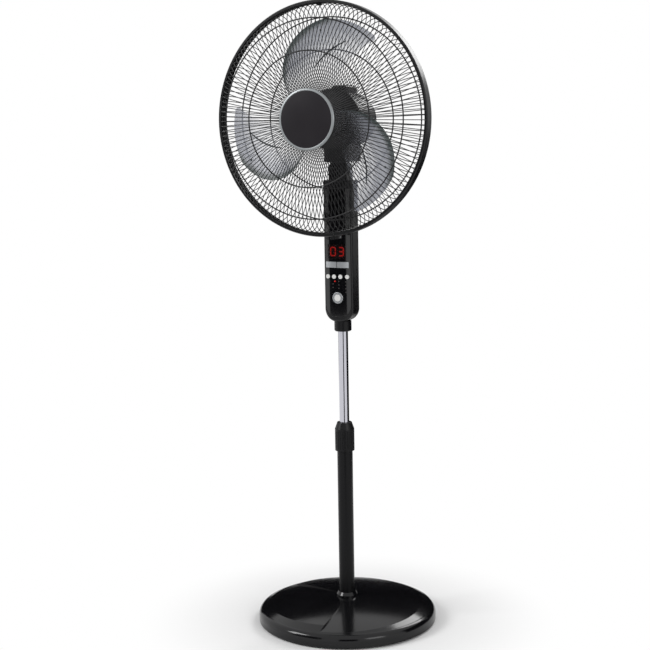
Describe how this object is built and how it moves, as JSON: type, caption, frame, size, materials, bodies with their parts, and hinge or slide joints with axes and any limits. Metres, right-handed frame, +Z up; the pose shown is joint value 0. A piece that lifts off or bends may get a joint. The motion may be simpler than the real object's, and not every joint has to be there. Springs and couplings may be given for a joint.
{
  "type": "pedestal fan",
  "caption": "Black pedestal fan: wire guard with smoke blades on a swinging, tilting motor head, control box with display and keys, chrome height mast and round domed base.",
  "frame": {"origin": "on the floor under the pole's axis, at the middle of the base", "axes": "+Z up, the fan blows towards -Y, +X to the right when it is seen from the front"},
  "size_m": [0.457, 0.37, 1.2655],
  "materials": {
    "black_steel": "satin",
    "board": "satin",
    "body_plastic": "satin",
    "bronze": "satin",
    "chrome": "polished",
    "dark_light": "gloss",
    "gloss_plastic": "gloss",
    "key_plastic": "satin",
    "nylon": "satin",
    "red_light": "lit",
    "rubber": "matte",
    "silver_plastic": "satin silver",
    "smoke_plastic": "translucent smoke",
    "steel": "satin",
    "weight": "rough",
    "window": "gloss tinted"
  },
  "bodies": {
    "base": {"base_cover": "body_plastic", "base_weight": "weight", "foot_pads": "rubber", "pole_bolt": "steel", "pole_plug": "nylon", "foot_ring": "body_plastic", "outer_tube": "black_steel", "collet": "nylon"},
    "lock_nut": {"lock_nut": "body_plastic"},
    "mast": {"inner_tube": "chrome", "tube_guide": "nylon", "box_collar": "body_plastic", "mast_socket": "body_plastic", "front_shell": "body_plastic", "rear_shell": "body_plastic", "shell_screws": "steel", "cord_gland": "rubber", "fascia": "gloss_plastic", "display_window": "window", "receiver_eye": "gloss_plastic", "legend_plates": "silver_plastic", "indicator_lights": "dark_light", "lit_light": "red_light", "display_module": "body_plastic", "lit_digits": "red_light", "circuit_board": "board", "neck_fork": "body_plastic", "tilt_bolt": "steel", "tilt_nut": "steel"},
    "tilt": {"tilt_knuckle": "body_plastic", "swing_sector": "nylon"},
    "head": {"swing_case": "body_plastic", "swing_pin": "steel", "swing_motor": "steel", "motor_front_cover": "body_plastic", "motor_rear_cover": "body_plastic", "rear_bracket": "steel", "bearings": "bronze", "stator": "steel", "rear_grille": "black_steel", "grille_nut": "body_plastic", "front_grille": "black_steel", "guard_band": "body_plastic", "band_screw": "steel", "top_clip": "body_plastic", "hub_cap": "body_plastic", "hub_ring": "silver_plastic"},
    "pinion": {"swing_pinion": "nylon"},
    "rotor": {"motor_shaft": "steel", "rotor_core": "steel", "impeller": "smoke_plastic", "drive_pin": "steel", "spinner": "body_plastic"},
    "key_1": {"key_1": "key_plastic"},
    "key_2": {"key_2": "key_plastic"},
    "key_3": {"key_3": "key_plastic"},
    "key_4": {"key_4": "key_plastic"},
    "power": {"power_key": "silver_plastic", "power_lens": "key_plastic"}
  },
  "joints": [
    {"name": "height_slide", "type": "slide", "parent": "base", "child": "mast", "axis": [0, 0, 1], "range_m": [-0.18, 0.095]},
    {"name": "lock_turn", "type": "hinge", "parent": "base", "child": "lock_nut", "pos_m": [0, 0, 0.39], "axis": [0, 0, 1], "range_deg": [-30, 30]},
    {"name": "key_1_press", "type": "slide", "parent": "mast", "child": "key_1", "axis": [0, 1, 0], "range_m": [0, 0.0012], "stiffness_N_per_m": 1500, "springref_m": -0.0003},
    {"name": "key_2_press", "type": "slide", "parent": "mast", "child": "key_2", "axis": [0, 1, 0], "range_m": [0, 0.0012], "stiffness_N_per_m": 1500, "springref_m": -0.0003},
    {"name": "key_3_press", "type": "slide", "parent": "mast", "child": "key_3", "axis": [0, 1, 0], "range_m": [0, 0.0012], "stiffness_N_per_m": 1500, "springref_m": -0.0003},
    {"name": "key_4_press", "type": "slide", "parent": "mast", "child": "key_4", "axis": [0, 1, 0], "range_m": [0, 0.0012], "stiffness_N_per_m": 1500, "springref_m": -0.0003},
    {"name": "power_press", "type": "slide", "parent": "mast", "child": "power", "axis": [0, 1, 0], "range_m": [0, 0.0012], "stiffness_N_per_m": 1500, "springref_m": -0.0003},
    {"name": "head_tilt", "type": "hinge", "parent": "mast", "child": "tilt", "pos_m": [0, 0, 0.937], "axis": [-1, 0, 0], "range_deg": [-5, 20]},
    {"name": "head_swing", "type": "hinge", "parent": "tilt", "child": "head", "pos_m": [0, 0, 0.96], "axis": [0, 0, 1], "range_deg": [-40, 40]},
    {"name": "pinion_turn", "type": "hinge", "parent": "head", "child": "pinion", "pos_m": [0, 0.028, 0.959], "axis": [0, 0, 1], "range_deg": [-120, 120]},
    {"name": "fan_spin", "type": "hinge", "parent": "head", "child": "rotor", "pos_m": [0, -0.1, 1.037], "axis": [0, 1, 0], "continuous": true}
  ],
  "couplings": [
    {"joint": "pinion_turn", "follows": "head_swing", "ratio": 3}
  ]
}
